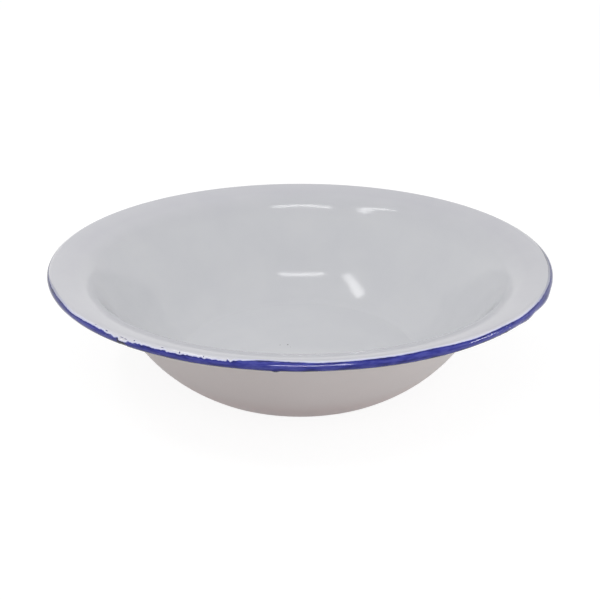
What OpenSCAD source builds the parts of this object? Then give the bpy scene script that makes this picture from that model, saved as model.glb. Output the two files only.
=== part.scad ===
// Enamelled steel basin: a round bowl pressed from sheet, its edge rolled outwards into a hollow bead.
// Each face of the sheet carries a dark ground enamel and a white cover enamel, and a blue band is
// fired over the white on the bead. The base rests on z = 0, and the bowl turns about the z axis.
// Every layer is one turned outline, set by its depth below the finished inside face.

/* [Bowl] */
// Diameter over the blue band at the rim
rim_d = 300; // [240:1:360]
// Height from the surface that the base rests on to the top of the bead
height = 74; // [56:0.5:95]
// Diameter of the flat floor inside
floor_d = 151; // [110:0.5:185]

/* [Wall] */
// Inside radius of the heel, the tight bend between the floor and the wall
heel_r = 5; // [3:0.1:10]
// Slope in degrees at which the heel runs into the curved lower wall
heel_slope = 36; // [26:0.5:46]
// Length of the straight upper wall along its slope
straight_wall = 39; // [25:0.5:50]
// Inside radius of the shoulder, the round turn from the wall to the brim
shoulder_r = 25; // [15:0.5:34]

/* [Brim] */
// Width of the straight brim along its slope
brim_w = 11; // [6:0.5:16]
// Slope of the brim in degrees
brim_slope = 19.5; // [10:0.5:28]
// Diameter of the rolled bead over its white enamel
bead_d = 5.2; // [4:0.1:8]
// Gap between the rolled edge and the underside of the brim
curl_gap = 0.2; // [0.1:0.05:0.5]

/* [Layers] */
// Thickness of the steel sheet
steel_t = 0.6; // [0.4:0.05:0.8]
// Thickness of the dark ground enamel on each face
ground_t = 0.15; // [0.1:0.01:0.2]
// Thickness of the white cover enamel on each face
cover_t = 0.2; // [0.15:0.01:0.3]

/* [Blue band] */
// Thickness of the blue enamel over the white
band_t = 0.15; // [0.1:0.01:0.3]
// Where the band starts on the bead, in degrees above its outermost point
band_top = 55; // [30:1:90]
// Where the band ends under the bead, in degrees below its outermost point
band_under = 130; // [60:1:150]

/* [Hidden] */
$fn = 180;

// How far a stepped arc may lie inside the true one
arc_tolerance = 0.01;

// Depths of the layers' faces below the finished inside face
ground_top = cover_t;
steel_top = ground_top + ground_t;
steel_under = steel_top + steel_t;
ground_under = steel_under + ground_t;
wall_t = ground_under + cover_t;

// Centre of the bead, and the angle on it at which the brim meets it
bead_r = bead_d / 2;
bead_c = [rim_d / 2 - band_t - bead_r, height - bead_r];
brim_angle = 90 + brim_slope;
// The roll stops short of the brim's underside by the gap
curl_end = brim_angle - 360 + acos((bead_r - wall_t - curl_gap) / bead_r);

// Centre of the shoulder, down the brim from the bead
shoulder_c = bead_c + (bead_r - shoulder_r) * unit(brim_angle) - brim_w * unit(brim_slope);

// Centre of the heel and the point where the curved lower wall takes over from it
heel_c = [floor_d / 2, wall_t + heel_r];
heel_angle = heel_slope - 90;
heel_end = heel_c + heel_r * unit(heel_angle);

// The curved wall touches the heel, and one straight wall touches both it and the shoulder.
// Its centre lies on the heel's end normal, at the radius that leaves the straight wall its length.
heel_to_shoulder = heel_end - shoulder_c;
heel_normal = unit(90 + heel_slope);
wall_r = (heel_to_shoulder * heel_to_shoulder - shoulder_r ^ 2 - straight_wall ^ 2)
       / (2 * (shoulder_r - heel_normal * heel_to_shoulder));
wall_c = heel_end + wall_r * heel_normal;
centre_line = wall_c - shoulder_c;
wall_turn = atan2(centre_line[1], centre_line[0]) + asin((shoulder_r + wall_r) / norm(centre_line));
wall_slope = wall_turn % 360 - 180 + (wall_turn < 0 ? 360 : 0);

function unit(angle) = [cos(angle), sin(angle)];

// Number of straight steps that keep an arc within the tolerance
function steps(r, sweep) = max(1, ceil(abs(sweep) / (2 * acos(1 - arc_tolerance / abs(r)))));

// Points along an arc round c, leaving out its first point if skip is 1
function arc(c, r, from, to, count, skip = 0) =
    [for (i = [skip:count]) c + r * unit(from + (to - from) * i / count)];

function backwards(points) = [for (i = [len(points) - 1:-1:0]) points[i]];

// Outline from the axis to the end of the brim, at a depth below the finished inside face
function bowl_line(depth) = concat(
    [[0, wall_t - depth]],
    arc(heel_c, heel_r + depth, -90, heel_angle, steps(heel_r + wall_t, heel_slope)),
    arc(wall_c, wall_r + depth, heel_angle, wall_slope - 90,
        steps(wall_r, wall_slope - heel_slope), 1),
    arc(shoulder_c, shoulder_r - depth, 90 + wall_slope, brim_angle,
        steps(shoulder_r, wall_slope - brim_slope)),
    [bead_c + (bead_r - depth) * unit(brim_angle)]
);

// Part of the bead's round between two angles, leaving out its first point if skip is 1
function bead_arc(depth, from, to, skip = 0) =
    arc(bead_c, bead_r - depth, from, to, steps(bead_r, to - from), skip);

// The bowl's outline carried on round the rolled bead, with a point at each edge of the band
function rolled_line(depth) = concat(
    bowl_line(depth),
    bead_arc(depth, brim_angle, band_top, 1),
    bead_arc(depth, band_top, -band_under, 1),
    bead_arc(depth, -band_under, curl_end, 1)
);

// Turns the strip between two outlines
module layer(upper, lower) {
    rotate_extrude()
        polygon(concat(upper, backwards(lower)));
}

// Pressed steel bowl with its edge rolled into a hollow bead
module steel_shell() {
    color("slategray")
        layer(rolled_line(steel_top), rolled_line(steel_under));
}

// Dark ground enamel on the inside face and round the bead
module ground_coat_inside() {
    color("#26262e")
        layer(rolled_line(ground_top), rolled_line(steel_top));
}

// Dark ground enamel on the outside face, up to the bead
module ground_coat_outside() {
    color("#26262e")
        layer(bowl_line(steel_under), bowl_line(ground_under));
}

// White enamel on the inside face and round the bead
module white_coat_inside() {
    color("#f1f1f4")
        layer(rolled_line(0), rolled_line(ground_top));
}

// White enamel on the outside face, up to the bead, which the bowl stands on
module white_coat_outside() {
    color("#e6e3e2")
        layer(bowl_line(ground_under), bowl_line(wall_t));
}

// Blue enamel over the white on the outer side of the bead
module blue_rim_band() {
    color("#42448f")
        layer(bead_arc(-band_t, band_top, -band_under), bead_arc(0, band_top, -band_under));
}

steel_shell();
ground_coat_inside();
ground_coat_outside();
white_coat_inside();
white_coat_outside();
blue_rim_band();
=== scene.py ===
"""A white enamelled steel basin with a blue rim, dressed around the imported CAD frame.

The two white coats and the blue band are turned again here, finer than the CAD solids. The steel and
the ground enamel under them keep their CAD solids. Meshes are drawn in millimetres and scaled once at
the end.
"""
import math

import bmesh
import bpy
from mathutils import Matrix, Vector, noise


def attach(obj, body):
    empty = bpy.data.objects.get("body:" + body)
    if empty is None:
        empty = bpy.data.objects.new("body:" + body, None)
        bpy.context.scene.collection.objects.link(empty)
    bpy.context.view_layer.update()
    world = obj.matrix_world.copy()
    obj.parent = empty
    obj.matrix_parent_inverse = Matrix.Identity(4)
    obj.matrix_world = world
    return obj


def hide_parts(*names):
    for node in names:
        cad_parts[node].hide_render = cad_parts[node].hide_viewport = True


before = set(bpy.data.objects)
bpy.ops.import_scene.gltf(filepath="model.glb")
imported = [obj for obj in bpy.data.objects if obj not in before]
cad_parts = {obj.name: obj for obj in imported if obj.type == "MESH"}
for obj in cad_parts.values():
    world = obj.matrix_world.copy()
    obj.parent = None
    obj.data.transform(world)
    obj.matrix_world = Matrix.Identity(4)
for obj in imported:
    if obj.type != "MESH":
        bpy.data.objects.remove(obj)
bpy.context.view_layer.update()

MM = 0.001

# Sizes of the bowl in millimetres and degrees, as the part's source has them
RIM_D = 300.0
HEIGHT = 74.0
FLOOR_D = 151.0
HEEL_R = 5.0
HEEL_SLOPE = 36.0
STRAIGHT_WALL = 39.0
SHOULDER_R = 25.0
BRIM_W = 11.0
BRIM_SLOPE = 19.5
BEAD_D = 5.2
CURL_GAP = 0.2
STEEL_T = 0.6
GROUND_T = 0.15
COVER_T = 0.2
BAND_T = 0.15
BAND_UNDER = 130.0

# Depths below the finished inside face
GROUND_UNDER = COVER_T + GROUND_T + STEEL_T + GROUND_T
WALL_T = GROUND_UNDER + COVER_T


def unit(angle):
    """The direction at an angle in the section plane, where x runs outwards and y up"""
    turn = math.radians(angle)
    return Vector((math.cos(turn), math.sin(turn)))


# Centres of the section's arcs
RIM_R = RIM_D / 2
BEAD_R = BEAD_D / 2
BEAD_C = Vector((RIM_R - BAND_T - BEAD_R, HEIGHT - BEAD_R))
BRIM_ANGLE = 90 + BRIM_SLOPE
CURL_END = BRIM_ANGLE - 360 + math.degrees(math.acos((BEAD_R - WALL_T - CURL_GAP) / BEAD_R))
SHOULDER_C = BEAD_C + (BEAD_R - SHOULDER_R) * unit(BRIM_ANGLE) - BRIM_W * unit(BRIM_SLOPE)
HEEL_C = Vector((FLOOR_D / 2, WALL_T + HEEL_R))
HEEL_END = HEEL_C + HEEL_R * unit(HEEL_SLOPE - 90)
HEEL_NORMAL = unit(HEEL_SLOPE + 90)
HEEL_TO_SHOULDER = HEEL_END - SHOULDER_C
WALL_R = (HEEL_TO_SHOULDER.length_squared - SHOULDER_R ** 2 - STRAIGHT_WALL ** 2) / (
    2 * (SHOULDER_R - HEEL_NORMAL.dot(HEEL_TO_SHOULDER)))
WALL_C = HEEL_END + WALL_R * HEEL_NORMAL
CENTRE_LINE = WALL_C - SHOULDER_C
WALL_SLOPE = math.degrees(
    math.atan2(CENTRE_LINE.y, CENTRE_LINE.x)
    + math.asin((SHOULDER_R + WALL_R) / CENTRE_LINE.length)) % 360 - 180

# The finished inside face turns over the shoulder more gently than the sheet, where the white set thick.
# Three arcs make the turn: an ease from the wall, a bend, and a crown over the brim onto the bead.
EASE_R = 100.0
CROWN_R = 60.0
# How much steeper the face's wall is than the sheet's, in degrees
FACE_STEEPER = 0.4
# Slopes of the face: at its wall, where ease meets bend, where bend meets crown, and at the bead
FACE_SLOPE = WALL_SLOPE + FACE_STEEPER
EASE_SLOPE = 53.0
CROWN_SLOPE = 25.0
CROWN_END_SLOPE = 11.0


def normal_change(slope, next_slope):
    """How the unit normal of the face changes between two slopes"""
    return unit(90 + next_slope) - unit(90 + slope)


# The straight wall and the bend cover what the ease and the crown leave, which sets the bend's radius
FACE_WAY = unit(FACE_SLOPE)
FACE_START = WALL_C + WALL_R * unit(FACE_SLOPE - 90)
CROWN_END = BEAD_C + BEAD_R * unit(90 + CROWN_END_SLOPE)
LEFT_OVER = (CROWN_END - FACE_START - EASE_R * normal_change(FACE_SLOPE, EASE_SLOPE)
             - CROWN_R * normal_change(CROWN_SLOPE, CROWN_END_SLOPE))
BEND_CHANGE = normal_change(EASE_SLOPE, CROWN_SLOPE)
BEND_R = FACE_WAY.cross(LEFT_OVER) / FACE_WAY.cross(BEND_CHANGE)
EASE_START = FACE_START + (LEFT_OVER - BEND_R * BEND_CHANGE).dot(FACE_WAY) * FACE_WAY
EASE_C = EASE_START - EASE_R * unit(90 + FACE_SLOPE)
BEND_C = EASE_C + (EASE_R - BEND_R) * unit(90 + EASE_SLOPE)
CROWN_C = BEND_C + (BEND_R - CROWN_R) * unit(90 + CROWN_SLOPE)

# Steps along the section: the floor, the heel and the curved lower wall
FLOOR_STEPS = 10
HEEL_STEPS = 8
WALL_STEPS = 14
# The straight wall, the shoulder and the brim below the finished face
STRAIGHT_STEPS = 6
SHOULDER_STEPS = 20
BRIM_STEPS = 3
# The straight wall and the three arcs of the finished face
FACE_STEPS = 5
EASE_STEPS = 16
BEND_STEPS = 24
CROWN_STEPS = 16
# The rolled bead, and the front and back of the blue band
BEAD_STEPS = 36
BAND_FRONT_STEPS = 22
BAND_BACK_STEPS = 6
# Steps round the bowl, and the cuts that make each of them finer on the band
TURN_STEPS = 240
BAND_CUTS = 9
# Distance in millimetres at which points are merged
MERGE_WITHIN = 1e-4


def draw_on(mesh, tip, place, steps):
    """Carries a section line straight on from its tip to a place"""
    start = tip.co.copy()
    end = Vector((place.x, 0, place.y))
    for step in range(1, steps + 1):
        tip = bmesh.ops.extrude_vert_indiv(mesh, verts=[tip])["verts"][0]
        tip.co = start.lerp(end, step / steps)
    return tip


def bend_on(mesh, tip, centre, sweep, steps):
    """Carries a section line on from its tip round a centre, anticlockwise for a positive sweep"""
    spun = bmesh.ops.spin(mesh, geom=[tip], cent=(centre.x, 0, centre.y), axis=(0, -1, 0),
                          angle=math.radians(sweep), steps=steps)
    return spun["geom_last"][0]


def bowl_line(mesh, depth):
    """Draws the section from the axis to the end of the brim, at a depth below the finished face"""
    tip = mesh.verts.new((0, 0, WALL_T - depth))
    tip = draw_on(mesh, tip, Vector((FLOOR_D / 2, WALL_T - depth)), FLOOR_STEPS)
    tip = bend_on(mesh, tip, HEEL_C, HEEL_SLOPE, HEEL_STEPS)
    if depth > 0:
        wall_end = SHOULDER_C + (SHOULDER_R - depth) * unit(90 + WALL_SLOPE)
        brim_end = BEAD_C + (BEAD_R - depth) * unit(BRIM_ANGLE)
        tip = bend_on(mesh, tip, WALL_C, WALL_SLOPE - HEEL_SLOPE, WALL_STEPS)
        tip = draw_on(mesh, tip, wall_end, STRAIGHT_STEPS)
        tip = bend_on(mesh, tip, SHOULDER_C, BRIM_SLOPE - WALL_SLOPE, SHOULDER_STEPS)
        return draw_on(mesh, tip, brim_end, BRIM_STEPS)
    tip = bend_on(mesh, tip, WALL_C, FACE_SLOPE - HEEL_SLOPE, WALL_STEPS)
    tip = draw_on(mesh, tip, EASE_START, FACE_STEPS)
    tip = bend_on(mesh, tip, EASE_C, EASE_SLOPE - FACE_SLOPE, EASE_STEPS)
    tip = bend_on(mesh, tip, BEND_C, CROWN_SLOPE - EASE_SLOPE, BEND_STEPS)
    return bend_on(mesh, tip, CROWN_C, CROWN_END_SLOPE - CROWN_SLOPE, CROWN_STEPS)


def rolled_line(mesh, depth):
    """Carries the bowl's section on round the rolled bead"""
    tip = bowl_line(mesh, depth)
    met_at = BRIM_ANGLE if depth > 0 else 90 + CROWN_END_SLOPE
    return bend_on(mesh, tip, BEAD_C, CURL_END - met_at, BEAD_STEPS)


def turn_section(mesh):
    """Turns the drawn section about the bowl's axis and closes its seam and poles"""
    bmesh.ops.spin(mesh, geom=mesh.verts[:] + mesh.edges[:], cent=(0, 0, 0), axis=(0, 0, 1),
                   angle=math.tau, steps=TURN_STEPS, use_merge=True)
    bmesh.ops.remove_doubles(mesh, verts=mesh.verts[:], dist=MERGE_WITHIN)
    bmesh.ops.recalc_face_normals(mesh, faces=mesh.faces[:])


def make_object(name, mesh, material):
    """Turns a bmesh into an object of one material, and frees the bmesh"""
    data = bpy.data.meshes.new(name)
    mesh.to_mesh(data)
    mesh.free()
    data.materials.append(material)
    made = bpy.data.objects.new(name, data)
    bpy.context.scene.collection.objects.link(made)
    return made


def make_piece(name, mesh, material, replaced=()):
    """Turns a bmesh in millimetres into a smooth piece in metres that rides on the bowl"""
    bmesh.ops.scale(mesh, vec=(MM, MM, MM), verts=mesh.verts[:])
    for face in mesh.faces:
        face.smooth = True
    piece = make_object(name, mesh, material)
    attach(piece, "root")
    if replaced:
        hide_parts(*replaced)


# Materials

def linear(hex_colour):
    """An sRGB hex colour as a linear colour with full alpha"""
    channels = [int(hex_colour[i:i + 2], 16) / 255 for i in (1, 3, 5)]
    return [c / 12.92 if c <= 0.04045 else ((c + 0.055) / 1.055) ** 2.4 for c in channels] + [1.0]


def per_metre(size_mm):
    """The scale at which a pattern repeats about once in a size in millimetres"""
    return 1 / (size_mm * MM)


def add_node(tree, kind, inputs=None, **settings):
    """Adds a node with its settings, and gives each named input a value or a link"""
    node = tree.nodes.new(kind)
    for name, value in settings.items():
        setattr(node, name, value)
    for name, value in (inputs or {}).items():
        if isinstance(value, bpy.types.NodeSocket):
            tree.links.new(value, node.inputs[name])
        else:
            node.inputs[name].default_value = value
    return node


def new_material(name):
    """An empty node material and its node tree"""
    material = bpy.data.materials.new(name)
    material.use_nodes = True
    material.node_tree.nodes.clear()
    return material, material.node_tree


def set_ramp(ramp, stops):
    """Gives a colour ramp its stops, each a place and a hex colour, the lowest and highest first"""
    elements = ramp.color_ramp.elements
    for index, (place, colour) in enumerate(stops):
        element = elements[index] if index < 2 else elements.new(place)
        element.position = place
        element.color = linear(colour)
    return ramp


# Sizes in millimetres of the patterns: clouds, waves and orange peel in the white, and pits in the blue
CLOUD_SIZE = 35.0
WAVE_SIZE = 13.0
PEEL_SIZE = 2.2
PIT_SIZE = 1.1
# Gas bubbles in the ground and the grain of the sheet, really finer and drawn coarse enough to show
BUBBLE_SIZE = 0.8
GRAIN_SIZE = 0.9
# Heights in millimetres of the patterns that stand out from the surface
WAVE_HEIGHT = 0.09
PEEL_HEIGHT = 0.006
PIT_HEIGHT = 0.008
BUBBLE_HEIGHT = 0.05
# Values between which most of a noise lies
NOISE_LOW = 0.3
NOISE_HIGH = 0.7
# Radii in millimetres between which the waves in the white die down, and the share that is left
CALM_FROM = 114.0
CALM_TO = 125.0
CALM_LEFT = 0.2
# A Mix node's sockets for two colours and their mix, whose names its other kinds share
FIRST_COLOUR = 6
SECOND_COLOUR = 7
MIXED_COLOUR = 2


def white_cover_enamel(name, tones, tints, roughness, specular):
    """Titania-white glass enamel, dipped and fired: a clear gloss over a faintly clouded, wavy coat.
    Tints, each at a radius in millimetres, grey it with painted shade, and warm it with a painted
    reflection of the floor.
    """
    material, tree = new_material(name)
    place = add_node(tree, "ShaderNodeTexCoord").outputs["Object"]
    clouds = add_node(tree, "ShaderNodeTexNoise",
                      {"Vector": place, "Scale": per_metre(CLOUD_SIZE), "Detail": 3.0, "Roughness": 0.55})
    tone = set_ramp(add_node(tree, "ShaderNodeValToRGB", {"Fac": clouds.outputs["Fac"]}),
                    [(NOISE_LOW, tones[0]), (NOISE_HIGH, tones[1])])
    level = add_node(tree, "ShaderNodeVectorMath", {0: place, 1: (1.0, 1.0, 0.0)}, operation="MULTIPLY")
    radius = add_node(tree, "ShaderNodeVectorMath", {0: level.outputs["Vector"]}, operation="LENGTH")
    outwards = add_node(tree, "ShaderNodeMapRange",
                        {"Value": radius.outputs["Value"], "From Min": 0.0, "From Max": RIM_R * MM})
    # Painted shade and painted warm reflection, ramped by radius
    tint = set_ramp(add_node(tree, "ShaderNodeValToRGB", {"Fac": outwards.outputs["Result"]}),
                    [(radius_mm / RIM_R, tint_there) for radius_mm, tint_there in tints])
    colour = add_node(tree, "ShaderNodeMix",
                      {0: 1.0, FIRST_COLOUR: tone.outputs["Color"], SECOND_COLOUR: tint.outputs["Color"]},
                      data_type="RGBA", blend_type="MULTIPLY")
    gloss = add_node(tree, "ShaderNodeMapRange",
                     {"Value": clouds.outputs["Fac"], "From Min": NOISE_LOW, "From Max": NOISE_HIGH,
                      "To Min": roughness[0], "To Max": roughness[1]})
    waves = add_node(tree, "ShaderNodeTexNoise",
                     {"Vector": place, "Scale": per_metre(WAVE_SIZE), "Detail": 1.0})
    peel = add_node(tree, "ShaderNodeTexNoise",
                    {"Vector": place, "Scale": per_metre(PEEL_SIZE), "Detail": 2.0})
    calm = add_node(tree, "ShaderNodeMapRange",
                    {"Value": radius.outputs["Value"], "From Min": CALM_FROM * MM,
                     "From Max": CALM_TO * MM, "To Min": 1.0, "To Max": CALM_LEFT})
    wavy = add_node(tree, "ShaderNodeBump",
                    {"Height": waves.outputs["Fac"], "Strength": calm.outputs["Result"],
                     "Distance": WAVE_HEIGHT * MM})
    bump = add_node(tree, "ShaderNodeBump",
                    {"Height": peel.outputs["Fac"], "Normal": wavy.outputs["Normal"],
                     "Strength": 1.0, "Distance": PEEL_HEIGHT * MM})
    glass = add_node(tree, "ShaderNodeBsdfPrincipled",
                     {"Base Color": colour.outputs[MIXED_COLOUR], "Roughness": gloss.outputs["Result"],
                      "Normal": bump.outputs["Normal"], "IOR": 1.5, "Specular IOR Level": specular})
    add_node(tree, "ShaderNodeOutputMaterial", {"Surface": glass.outputs["BSDF"]})
    return material


def blue_rim_enamel():
    """Cobalt-blue glass enamel brushed over the white: deep where it pooled, lavender where it runs thin.
    The piece's attributes say how deep its colour is, from the coat and from painted shade and sheen,
    where a painted grey sheen lies on it, and where ground is bare.
    """
    material, tree = new_material("brushed_blue_rim_enamel")
    place = add_node(tree, "ShaderNodeTexCoord").outputs["Object"]
    # The coat attribute holds the coat's depth, with painted shade added and a painted sheen taken off
    coat = add_node(tree, "ShaderNodeAttribute", attribute_name="coat")
    bare = add_node(tree, "ShaderNodeAttribute", attribute_name="bare")
    worn = add_node(tree, "ShaderNodeAttribute", attribute_name="worn")
    depth = set_ramp(add_node(tree, "ShaderNodeValToRGB", {"Fac": coat.outputs["Fac"]}),
                     [(0.0, "#E4E5F0"), (1.0, "#12143E"), (0.08, "#DADCF0"), (0.20, "#8D93C6"),
                      (0.34, "#454AA2"), (0.60, "#2D3291"), (0.82, "#1B1F70")])
    # The grey mixed in is a painted sheen where the band turns away towards the sides
    dulled = add_node(tree, "ShaderNodeMix",
                      {0: worn.outputs["Fac"], FIRST_COLOUR: depth.outputs["Color"],
                       SECOND_COLOUR: linear("#525258")},
                      data_type="RGBA")
    colour = add_node(tree, "ShaderNodeMix",
                      {0: bare.outputs["Fac"], FIRST_COLOUR: dulled.outputs[MIXED_COLOUR],
                       SECOND_COLOUR: linear("#101238")},
                      data_type="RGBA")
    pits = add_node(tree, "ShaderNodeTexNoise",
                    {"Vector": place, "Scale": per_metre(PIT_SIZE), "Detail": 2.0})
    gloss = add_node(tree, "ShaderNodeMapRange",
                     {"Value": pits.outputs["Fac"], "From Min": NOISE_LOW, "From Max": NOISE_HIGH,
                      "To Min": 0.08, "To Max": 0.15})
    bump = add_node(tree, "ShaderNodeBump",
                    {"Height": pits.outputs["Fac"], "Strength": 1.0, "Distance": PIT_HEIGHT * MM})
    glass = add_node(tree, "ShaderNodeBsdfPrincipled",
                     {"Base Color": colour.outputs[MIXED_COLOUR], "Roughness": gloss.outputs["Result"],
                      "Normal": bump.outputs["Normal"], "IOR": 1.5, "Specular IOR Level": 0.28})
    add_node(tree, "ShaderNodeOutputMaterial", {"Surface": glass.outputs["BSDF"]})
    return material


def dark_ground_enamel():
    """Cobalt-bearing ground enamel: a near-black satin glass, rough with fine gas bubbles"""
    material, tree = new_material("bubbled_dark_ground_enamel")
    place = add_node(tree, "ShaderNodeTexCoord").outputs["Object"]
    bubbles = add_node(tree, "ShaderNodeTexNoise",
                       {"Vector": place, "Scale": per_metre(BUBBLE_SIZE), "Detail": 2.0})
    colour = set_ramp(add_node(tree, "ShaderNodeValToRGB", {"Fac": bubbles.outputs["Fac"]}),
                      [(0.35, "#1A1820"), (NOISE_HIGH, "#3A322F")])
    bump = add_node(tree, "ShaderNodeBump",
                    {"Height": bubbles.outputs["Fac"], "Strength": 1.0, "Distance": BUBBLE_HEIGHT * MM})
    glass = add_node(tree, "ShaderNodeBsdfPrincipled",
                     {"Base Color": colour.outputs["Color"], "Normal": bump.outputs["Normal"],
                      "Roughness": 0.35, "IOR": 1.52})
    add_node(tree, "ShaderNodeOutputMaterial", {"Surface": glass.outputs["BSDF"]})
    return material


def pickled_steel():
    """Cold-rolled steel sheet, pickled before enamelling: grey metal with a fine dull grain"""
    material, tree = new_material("pickled_steel_sheet")
    place = add_node(tree, "ShaderNodeTexCoord").outputs["Object"]
    grain = add_node(tree, "ShaderNodeTexNoise",
                     {"Vector": place, "Scale": per_metre(GRAIN_SIZE), "Detail": 3.0})
    colour = set_ramp(add_node(tree, "ShaderNodeValToRGB", {"Fac": grain.outputs["Fac"]}),
                      [(NOISE_LOW, "#85878A"), (NOISE_HIGH, "#A3A5A8")])
    gloss = add_node(tree, "ShaderNodeMapRange",
                     {"Value": grain.outputs["Fac"], "To Min": 0.38, "To Max": 0.55})
    metal = add_node(tree, "ShaderNodeBsdfPrincipled",
                     {"Base Color": colour.outputs["Color"], "Roughness": gloss.outputs["Result"],
                      "Metallic": 1.0})
    add_node(tree, "ShaderNodeOutputMaterial", {"Surface": metal.outputs["BSDF"]})
    return material


# The inside has a wet gloss. The outside is duller, and painted shade with a painted warm reflection of
# the floor darkens and warms it, most of all near the base.
# Painted shade greys the inside from a radius of 120 mm out over the brim and the bead
WHITE_INSIDE = white_cover_enamel(
    "fired_white_cover_enamel", ("#E1E2E6", "#E5E6E9"), [(120, "#FFFFFF"), (136, "#F2F1F4")],
    roughness=(0.08, 0.11), specular=0.36)
# Painted shade and a painted warm reflection of the floor over the outside, strongest near the base
WHITE_OUTSIDE = white_cover_enamel(
    "outside_white_enamel_painted_light", ("#E0DEDE", "#E4E2E2"),
    [(80, "#F0E6E6"), (116, "#FFFFFF"), (92, "#F4ECEC"), (101, "#F8F6F6")],
    roughness=(0.42, 0.52), specular=0.11)
BLUE = blue_rim_enamel()
GROUND = dark_ground_enamel()
STEEL = pickled_steel()

# Finishes of the CAD solids that stay
FINISHES = {"steel_shell": STEEL, "ground_coat_inside": GROUND, "ground_coat_outside": GROUND}

for node, finish in FINISHES.items():
    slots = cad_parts[node].data.materials
    slots.clear()
    slots.append(finish)


# White coats

def white_coat(name, section_line, upper_depth, lower_depth, finish, node):
    """White enamel between two depths below the finished inside face, turned from a section line"""
    mesh = bmesh.new()
    upper = section_line(mesh, upper_depth)
    lower = section_line(mesh, lower_depth)
    mesh.edges.new((upper, lower))
    turn_section(mesh)
    make_piece(name, mesh, finish, [node])


# Blue band

# Upper edge of the brushed blue, in degrees above the bead's outermost line
BRUSH_TOP = 48.0
# Where the brush ran higher or lower: azimuth from the front, half width and rise, in degrees
BRUSH_RISES = [
    (-128, 40, -43), (-62, 10, 5), (-50, 5.5, -14), (-45, 2.5, -5), (-40, 8, -10), (-37.6, 2.2, -14),
    (-35.7, 1.5, -18), (-32.4, 1.7, -20), (-30.6, 4, -12), (-25.5, 5, -11), (-21, 13, -14),
    (-17.2, 3.6, -9), (-13.6, 3, -14), (-11.9, 0.5, -14), (-5.6, 5.2, 20), (-1.5, 3, 6), (0.5, 2.5, 5),
    (14, 6, 6.5), (22.5, 6.5, 9), (33.5, 5.5, -7.5), (47.5, 6.5, -9), (61.5, 7, 5), (76, 20, 20)]
# How the upper edge wavers, its teeth and how the lower edge wavers: degrees, size along the rim in
# millimetres and layer of the noise
TOP_WAVER = [(3, 24, 2.0)]
TEETH = [(9, 3.2, 3.0), (9, 1.4, 4.0)]
FOOT_WAVER = [(8, 30, 5.0), (4, 6, 6.0)]
# Azimuths at which the ragged stretch begins, has its full teeth, begins to end and ends
RAGGED = (-44.0, -36.0, -11.0, -9.0)
# Share of the teeth that the edge has all round
TEETH_ALL_ROUND = 0.2
# The chip: azimuths at the top and foot of its left edge, and at the foot and top of its right edge
CHIP = (-35.3, -34.7, -33.7, -32.2)
# Angle on the bead to which the blue is broken away there
CHIP_FOOT = -1.0
# The bare ground at the foot of the chip: azimuth, angle on the bead, and half widths of both
BARE_SPOT = (-34.0, -42.0, 1.3, 56.0)
# Its rough edge: amount, size in millimetres, layer of the noise, and degrees round the bead to the next
BARE_ROUGH = [(0.15, 1.2, 11.0, 12.0)]
# Values between which the ground comes to show, and the share of the blue's thickness that is gone there
BARE_SHOWS = (0.12, 0.25)
BARE_LOSS = 0.4
# Streaks of the brush and the lumps that sparkle, in the same four values as the rough edge
STREAKS = [(0.6, 8.0, 7.0, 25.0), (0.4, 2.4, 9.0, 10.0)]
LUMPS = [(0.23, 1.7, 13.0, 16.0)]
# The lumpy stretch: azimuth and half width
LUMPY = (44.5, 12.0)
# Thickness of the blue as a share of the band's: without streaks, and more for a full streak
EVEN_T = 0.8
STREAK_T = 0.5
# Thickness in millimetres by which the wet blue sank to the underside of the bead, and how that wavers
SAG_T = 0.2
SAG_WAVER = [(0.14, 26, 8.0)]
# The angle on the bead to which it sank, and the half width
SAG_PLACE = (-72.0, 62.0)
# Where more of it sank: azimuth, half width and extra thickness in millimetres
POOLS = [(1, 11, 0.14), (24, 20, 0.2), (50, 20, 0.2)]
# Drops and one thick edge: azimuth, angle on the bead, half widths of both and thickness in millimetres
SWELLS = [
    (-4.2, -52.0, 0.9, 24.0, 0.4), (7.5, 50.0, 2.4, 20.0, 0.2), (50.6, -42.0, 3.6, 60.0, 0.5),
    (60.2, -24.0, 7.0, 62.0, 0.7)]
# The lavender film above the blue: width in degrees, how it wavers, where it is wider and its least width
FILM_WIDTH = 19.0
FILM_WAVER = [(4, 12, 12.0)]
FILM_WIDER = [(-60, 24, 10), (78, 34, 8)]
FILM_LEAST = 2.0
# Thickness of the film in millimetres
FILM_T = 0.012
# Azimuths behind which the film has faded on the left, and where it is whole
FILM_FADES = (-80.0, -62.0)
# Degrees below the upper edge, and above the lower one, in which the blue comes to its full coat
TOP_TAPER = (-1.0, 5.0)
FOOT_TAPER = (0.0, 12.0)
# How deep the colour is, from 0 for white to 1: in the film, at least in the blue, and as a rule there
FILM_DEPTH = 0.1
LEAST_DEPTH = 0.26
EVEN_DEPTH = 0.42
# How much deeper it is in a full streak, and for each millimetre of swell
STREAK_DEPTH = 0.6
SWELL_DEPTH = 0.1
# The dark line along the upper edge: depth, degrees below the edge and half width
TOP_LINE = (0.36, 7.0, 8.0)
# Painted shade on the bead's underside: depth, and the degrees below the outermost line between which it
# darkens
UNDERSIDE = (0.3, 8.0, 50.0)
# Painted shade on the left side: depth, and the azimuths to the left between which it darkens
LEFT_SIDE = (0.25, 48.0, 80.0)
# The dark left edge of the chip: depth, azimuth and half width
CHIP_LINE = (0.5, CHIP[0] + 0.3, 0.5)
# Painted sheen on the right side: azimuths between which it pales, how much, and how much of the painted
# shade on the underside it loses there
RIGHT_SIDE = (42.0, 58.0)
RIGHT_PALER = 0.1
RIGHT_LOSS = 0.6
# Azimuths to either side at which the blue begins to take a painted grey sheen, has some and has the most
WORN_SIDES = (46.0, 66.0, 90.0)
# How much of the sheen it takes in each of the two stretches between them
WORN_BY = (0.4, 0.3)
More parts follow.
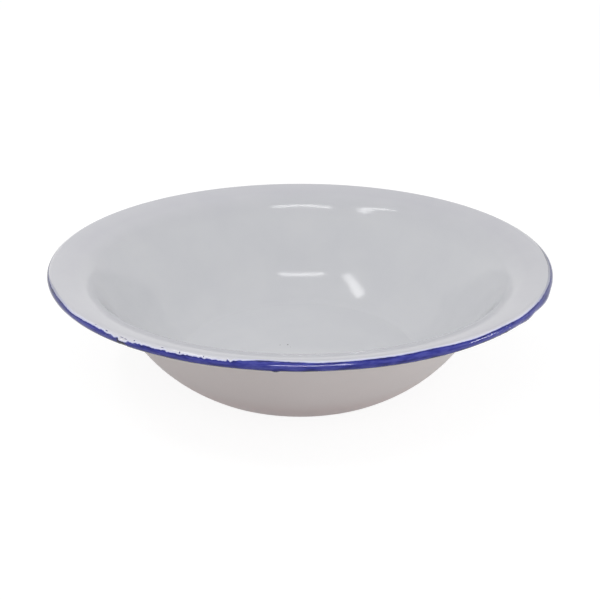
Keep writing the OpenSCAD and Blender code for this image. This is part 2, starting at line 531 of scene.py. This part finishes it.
# How the rows across the band crowd towards its upper edge, where 1 is evenly
CROWDING = 1.6
# Depth in millimetres of the back of the band, sunk in the white so that no gap shows
BACK_SUNK = 0.03


def hump(place, centre, half_width):
    """A smooth bump of height 1 that ends one half width either side of its centre"""
    reach = abs(place - centre) / half_width
    return (1 - reach * reach) ** 2 if reach < 1 else 0.0


def humps(azimuth, rows):
    """The sum of bumps along the rim, each an azimuth, a half width and a height"""
    return sum(height * hump(azimuth, centre, half_width) for centre, half_width, height in rows)


def patch(azimuth, angle, centre, level, half_width, half_height):
    """A smooth bump of height 1 on the bead, round an azimuth and an angle"""
    return hump(azimuth, centre, half_width) * hump(angle, level, half_height)


def step_between(place, start, end):
    """A smooth step from 0 at the start to 1 at the end"""
    share = min(1.0, max(0.0, (place - start) / (end - start)))
    return share * share * (3 - 2 * share)


def stretch(place, start, whole, waning, end):
    """A smooth rise from 0 at the start to 1 when whole, and a fall from 1 when waning to 0 at the end"""
    return step_between(place, start, whole) * (1 - step_between(place, waning, end))


def wander(azimuth, size_mm, layer):
    """Noise from about -1 to 1 along the rim, with no seam, at a size in millimetres"""
    reach = RIM_R / size_mm
    turn = math.radians(azimuth)
    return noise.noise(Vector((reach * math.sin(turn), reach * math.cos(turn), layer)))


def waver(azimuth, rows):
    """The sum of noises along the rim, each an amount, a size in millimetres and a layer"""
    return sum(amount * wander(azimuth, size_mm, layer) for amount, size_mm, layer in rows)


def mottle(azimuth, angle, rows):
    """The sum of noises over the bead, each also with the degrees round it from one layer to the next"""
    return sum(amount * wander(azimuth, size_mm, layer + angle / spread)
               for amount, size_mm, layer, spread in rows)


def blue_top(azimuth):
    """Angle on the bead at which the brushed blue begins"""
    ragged = TEETH_ALL_ROUND + stretch(azimuth, *RAGGED)
    edge = BRUSH_TOP + waver(azimuth, TOP_WAVER) + ragged * waver(azimuth, TEETH)
    edge += humps(azimuth, BRUSH_RISES)
    return edge + (CHIP_FOOT - edge) * stretch(azimuth, *CHIP)


def blue_foot(azimuth):
    """Angle under the bead at which the brushed blue ends"""
    return waver(azimuth, FOOT_WAVER) - BAND_UNDER


def film_width(azimuth):
    """Width of the lavender film above the blue, in degrees round the bead"""
    width = FILM_WIDTH + waver(azimuth, FILM_WAVER) + humps(azimuth, FILM_WIDER)
    return FILM_LEAST + (width - FILM_LEAST) * step_between(azimuth, *FILM_FADES)


def sag(azimuth, angle):
    """Extra thickness in millimetres where the wet blue sank to the underside of the bead"""
    pooled = SAG_T + waver(azimuth, SAG_WAVER) + humps(azimuth, POOLS)
    return max(0.0, pooled) * hump(angle, *SAG_PLACE)


def shading(azimuth, angle, below_top):
    """How much deeper or paler than as a rule the blue is drawn: dark lines along its upper edge and the
    chip's, painted shade on the underside and the left side, and a painted sheen that pales the right
    side
    """
    right = step_between(azimuth, *RIGHT_SIDE)
    depth = TOP_LINE[0] * hump(below_top, TOP_LINE[1], TOP_LINE[2])
    depth += UNDERSIDE[0] * (1 - RIGHT_LOSS * right) * step_between(-angle, UNDERSIDE[1], UNDERSIDE[2])
    depth += LEFT_SIDE[0] * step_between(-azimuth, LEFT_SIDE[1], LEFT_SIDE[2])
    depth += CHIP_LINE[0] * hump(azimuth, CHIP_LINE[1], CHIP_LINE[2])
    return depth - RIGHT_PALER * right


def wear(azimuth):
    """How much painted grey sheen the blue takes where it turns towards the sides, from 0 to 1"""
    aside = abs(azimuth)
    dull = WORN_BY[0] * step_between(aside, WORN_SIDES[0], WORN_SIDES[1])
    return dull + WORN_BY[1] * step_between(aside, WORN_SIDES[1], WORN_SIDES[2])


def on_bead(azimuth, angle, radius):
    """A point round the bead, by azimuth from the front and angle above the outermost line"""
    place = BEAD_C + radius * unit(angle)
    turn = math.radians(azimuth)
    return Vector((place.x * math.sin(turn), -place.x * math.cos(turn), place.y))


def band_strip(mesh, across, proud):
    """Turns a closed strip round the bead, and marks each point's share of the way across and its front.
    It is drawn a quarter of the way round the bead, and its points are put in their places afterwards.
    """
    first = mesh.verts.new((BEAD_C.x + BEAD_R + BAND_T, 0, BEAD_C.y))
    last = bend_on(mesh, first, BEAD_C, -90, BAND_FRONT_STEPS)
    for index, vert in enumerate(mesh.verts):
        vert[across] = index / BAND_FRONT_STEPS
        vert[proud] = 1.0
    back_first = mesh.verts.new((BEAD_C.x + BEAD_R / 2, 0, BEAD_C.y))
    back_last = bend_on(mesh, back_first, BEAD_C, -90, BAND_BACK_STEPS)
    for index, vert in enumerate(mesh.verts[BAND_FRONT_STEPS + 1:]):
        vert[across] = index / BAND_BACK_STEPS
    mesh.edges.new((first, back_first))
    mesh.edges.new((last, back_last))
    turn_section(mesh)
    along = [edge for edge in mesh.edges
             if edge.verts[0][across] == edge.verts[1][across]
             and edge.verts[0][proud] == edge.verts[1][proud]]
    bmesh.ops.subdivide_edges(mesh, edges=along, cuts=BAND_CUTS)


def blue_band():
    """Blue enamel brushed round the bead, with a ragged upper edge, a chip, drops and a lumpy stretch"""
    mesh = bmesh.new()
    across = mesh.verts.layers.float.new("across")
    proud = mesh.verts.layers.float.new("proud")
    coat = mesh.verts.layers.float.new("coat")
    bare = mesh.verts.layers.float.new("bare")
    worn = mesh.verts.layers.float.new("worn")
    band_strip(mesh, across, proud)
    for vert in mesh.verts:
        azimuth = math.degrees(math.atan2(vert.co.x, -vert.co.y))
        top = blue_top(azimuth)
        foot = blue_foot(azimuth)
        reach = film_width(azimuth)
        angle = top + reach + (foot - top - reach) * vert[across] ** CROWDING
        below_top = top - angle
        film = step_between(below_top, -reach, -reach / 2)
        body = step_between(below_top, *TOP_TAPER) * step_between(angle - foot, *FOOT_TAPER)
        streak = mottle(azimuth, angle, STREAKS)
        swell = sum(thickness * patch(azimuth, angle, *spot) for *spot, thickness in SWELLS)
        ground = patch(azimuth, angle, *BARE_SPOT) + mottle(azimuth, angle, BARE_ROUGH)
        vert[bare] = step_between(ground, *BARE_SHOWS)
        # A painted grey sheen where the band turns away towards the sides
        vert[worn] = wear(azimuth)
        depth = EVEN_DEPTH + STREAK_DEPTH * streak + SWELL_DEPTH * swell
        # Painted shade on the underside and the left side, and the painted sheen that pales the right
        # side, are added to the colour's depth here with the dark edge lines
        depth += shading(azimuth, angle, below_top)
        vert[coat] = FILM_DEPTH * film + body * max(LEAST_DEPTH, depth)
        radius = BEAD_R - BACK_SUNK
        if vert[proud] > 0.5:
            lump = hump(azimuth, *LUMPY) * mottle(azimuth, angle, LUMPS)
            thick = BAND_T * (EVEN_T + STREAK_T * streak) + sag(azimuth, angle) + lump + swell
            radius = BEAD_R + FILM_T * film + (1 - BARE_LOSS * vert[bare]) * body * thick
        vert.co = on_bead(azimuth, angle, radius)
    bmesh.ops.recalc_face_normals(mesh, faces=mesh.faces[:])
    make_piece("enamel_blue_rim", mesh, BLUE, ["blue_rim_band"])


# Stray touches of the brush: azimuth, angle on the bead, and half length and half width in millimetres
TOUCHES = [
    (-41.9, 62, 0.4, 0.16), (-38.4, 50, 0.9, 0.22), (-34.2, 44, 1.2, 0.14), (-33.2, 40, 0.9, 0.14),
    (-31.2, 52, 0.35, 0.32), (-25.0, 58, 0.8, 0.13), (-21.4, 46, 0.28, 0.6), (-16.8, 47, 0.2, 0.35),
    (-12.5, 38, 0.3, 0.5)]
# Their thickness in millimetres and the depth of their colour
TOUCH_T = 0.06
TOUCH_DEPTH = 0.75


def drop_place(azimuth, angle, half_length, half_width):
    """Stretches a unit ball into a flat drop on the bead"""
    turn = math.radians(azimuth)
    along = Vector((math.cos(turn), math.sin(turn), 0))
    out = unit(angle)
    normal = Vector((out.x * math.sin(turn), -out.x * math.cos(turn), out.y))
    axes = Matrix((along, normal.cross(along), normal)).transposed().to_4x4()
    place = Matrix.Translation(on_bead(azimuth, angle, BEAD_R))
    return place @ axes @ Matrix.Diagonal((half_length, half_width, TOUCH_T, 1))


def brush_touches():
    """Stray touches of blue on the white just above the band"""
    mesh = bmesh.new()
    coat = mesh.verts.layers.float.new("coat")
    for touch in TOUCHES:
        bmesh.ops.create_uvsphere(mesh, u_segments=10, v_segments=6, radius=1.0,
                                  matrix=drop_place(*touch))
    for vert in mesh.verts:
        vert[coat] = TOUCH_DEPTH
    make_piece("enamel_blue_touches", mesh, BLUE)


# Pin holes on the floor, where gas broke through the white: x and y in millimetres, and radius
PIN_HOLES = [
    (-8.2, 9.3, 0.5), (-13.3, 8.7, 0.32), (-6.4, 5.6, 0.2), (24.0, -31.0, 0.3), (-47.0, -22.0, 0.25)]
# Marks of the three firing points under the base: azimuths, radius of their circle, and half sizes
FIRING_POINTS = (30, 150, 270)
FIRING_POINTS_R = 66.0
FIRING_POINT_SIZE = (1.1, 0.8)
# How far a dark spot stands out of the white, in millimetres
SPOT_T = 0.02


def dark_spot(mesh, place, turn, half_length, half_width):
    """Adds a flat spot at a place, turned about the vertical"""
    shape = Matrix.Diagonal((half_length, half_width, SPOT_T, 1))
    matrix = Matrix.Translation(place) @ Matrix.Rotation(turn, 4, "Z") @ shape
    bmesh.ops.create_uvsphere(mesh, u_segments=12, v_segments=6, radius=1.0, matrix=matrix)


def pin_holes():
    """Dark pin holes in the white on the floor, and the marks of the firing points under the base"""
    mesh = bmesh.new()
    for x, y, radius in PIN_HOLES:
        dark_spot(mesh, (x, y, WALL_T), 0.0, radius, radius)
    for azimuth in FIRING_POINTS:
        turn = math.radians(azimuth)
        place = (FIRING_POINTS_R * math.sin(turn), -FIRING_POINTS_R * math.cos(turn), 0)
        dark_spot(mesh, place, turn, *FIRING_POINT_SIZE)
    make_piece("enamel_pin_holes", mesh, GROUND)


white_coat("enamel_white_inside", rolled_line, 0, COVER_T, WHITE_INSIDE, "white_coat_inside")
white_coat("enamel_white_outside", bowl_line, GROUND_UNDER, WALL_T, WHITE_OUTSIDE, "white_coat_outside")
blue_band()
brush_touches()
pin_holes()


# Studio

WHITE = linear("#FFFFFF")
# Strength of the surround's light: an even part, more along each axis either way, and a little more
# from the right and the front
SKY_EVEN = 0.09
SKY_AXES = (0.54, 0.06, 0.415)
SKY_TILT = (0.045, -0.06, 0.0)
# Height of the floor in metres, a hair above the base's underside, so that they don't share a plane
FLOOR_LEVEL = 0.00005
# How far the floor reaches from the middle, in metres
FLOOR_REACH = 6.0
# The photograph's viewpoint: place in metres, degrees up from straight down, and lens and sensor in
# millimetres
CAMERA_PLACE = (0.0, -0.4434, 0.2336)
CAMERA_TILT = 66.19
CAMERA_LENS = 45.61
CAMERA_SENSOR = 36.0


def seen_ray(tree):
    """1 for a ray that shows the background: from the camera, off a glossy surface or through glass"""
    path = add_node(tree, "ShaderNodeLightPath")
    seen = path.outputs["Is Camera Ray"]
    for kind in ("Is Glossy Ray", "Is Transmission Ray"):
        either = add_node(tree, "ShaderNodeMath", {0: seen, 1: path.outputs[kind]}, operation="MAXIMUM")
        seen = either.outputs["Value"]
    return seen


def studio_world():
    """A white surround whose light comes most from the two sides and from above"""
    world = bpy.data.worlds.new("studio_surround")
    bpy.context.scene.world = world
    world.use_nodes = True
    tree = world.node_tree
    tree.nodes.clear()
    look = add_node(tree, "ShaderNodeTexCoord").outputs["Generated"]
    either_way = add_node(tree, "ShaderNodeVectorMath", {0: look}, operation="ABSOLUTE")
    along_axes = add_node(tree, "ShaderNodeVectorMath",
                          {0: either_way.outputs["Vector"], 1: SKY_AXES}, operation="DOT_PRODUCT")
    tilted = add_node(tree, "ShaderNodeVectorMath", {0: look, 1: SKY_TILT}, operation="DOT_PRODUCT")
    uneven = add_node(tree, "ShaderNodeMath",
                      {0: along_axes.outputs["Value"], 1: tilted.outputs["Value"]}, operation="ADD")
    strength = add_node(tree, "ShaderNodeMath",
                        {0: uneven.outputs["Value"], 1: SKY_EVEN}, operation="ADD")
    light = add_node(tree, "ShaderNodeBackground",
                     {"Color": WHITE, "Strength": strength.outputs["Value"]})
    backdrop = add_node(tree, "ShaderNodeBackground", {"Color": WHITE, "Strength": 1.0})
    both = add_node(tree, "ShaderNodeMixShader",
                    {0: seen_ray(tree), 1: light.outputs["Background"],
                     2: backdrop.outputs["Background"]})
    add_node(tree, "ShaderNodeOutputWorld", {"Surface": both.outputs["Shader"]})


def studio_floor():
    """A matt pale floor that looks white, keeps a soft shadow, and gives back a warm grey light"""
    material, tree = new_material("matt_pale_floor")
    bounce = add_node(tree, "ShaderNodeBsdfDiffuse", {"Color": linear("#877570")})
    shade = add_node(tree, "ShaderNodeBsdfDiffuse", {"Color": linear("#848484")})
    glow = add_node(tree, "ShaderNodeEmission", {"Color": WHITE, "Strength": 0.87})
    white = add_node(tree, "ShaderNodeAddShader", {0: shade.outputs["BSDF"], 1: glow.outputs["Emission"]})
    both = add_node(tree, "ShaderNodeMixShader",
                    {0: seen_ray(tree), 1: bounce.outputs["BSDF"], 2: white.outputs["Shader"]})
    add_node(tree, "ShaderNodeOutputMaterial", {"Surface": both.outputs["Shader"]})
    mesh = bmesh.new()
    bmesh.ops.create_grid(mesh, x_segments=1, y_segments=1, size=FLOOR_REACH)
    floor = make_object("floor", mesh, material)
    floor.location.z = FLOOR_LEVEL


def lamp(name, place, width, tall, watts, faces_down=False, in_gloss=True, in_light=True):
    """A soft rectangular lamp at a place in metres, which faces the bowl or straight down.
    Without in_gloss it leaves no streak on gloss, and without in_light it gives nothing but streaks.
    """
    data = bpy.data.lights.new(name, "AREA")
    data.shape = "RECTANGLE"
    data.size = width
    data.size_y = tall
    data.energy = watts
    light = bpy.data.objects.new(name, data)
    light.location = place
    if not faces_down:
        light.rotation_euler = Vector(place).to_track_quat("Z", "Y").to_euler()
    light.visible_glossy = in_gloss
    light.visible_diffuse = in_light
    bpy.context.scene.collection.objects.link(light)


def photograph_camera():
    """A camera at the photograph's viewpoint"""
    data = bpy.data.cameras.new("camera")
    data.sensor_width = CAMERA_SENSOR
    data.lens = CAMERA_LENS
    camera = bpy.data.objects.new("camera", data)
    camera.location = CAMERA_PLACE
    camera.rotation_euler = (math.radians(CAMERA_TILT), 0.0, 0.0)
    bpy.context.scene.collection.objects.link(camera)
    bpy.context.scene.camera = camera


studio_world()
studio_floor()
# The two lamps overhead give the highlights inside the bowl
lamp("lamp_ceiling_front", (-0.02, -0.498, 1.0), 0.50, 0.058, 0.90, faces_down=True)
lamp("lamp_ceiling_left", (-0.55, -0.205, 1.0), 0.12, 0.45, 1.38, faces_down=True)
# Lamps near the floor light the outside, and the strip gives the streak on the front of the band
lamp("lamp_low_front", (-0.04, -1.17, 0.055), 0.5, 0.09, 3.7, in_gloss=False)
lamp("lamp_front_strip", (0.09, -1.17, 0.31), 0.62, 0.10, 9.4, in_light=False)
lamp("lamp_low_right", (1.1, -0.35, 0.055), 0.25, 0.1, 3.0)
lamp("lamp_low_left", (-1.1, -0.35, 0.055), 0.25, 0.1, 1.0)
lamp("lamp_low_back", (0.04, 1.17, 0.055), 0.5, 0.09, 3.4, in_gloss=False)
photograph_camera()
bpy.context.scene.view_settings.view_transform = "Standard"
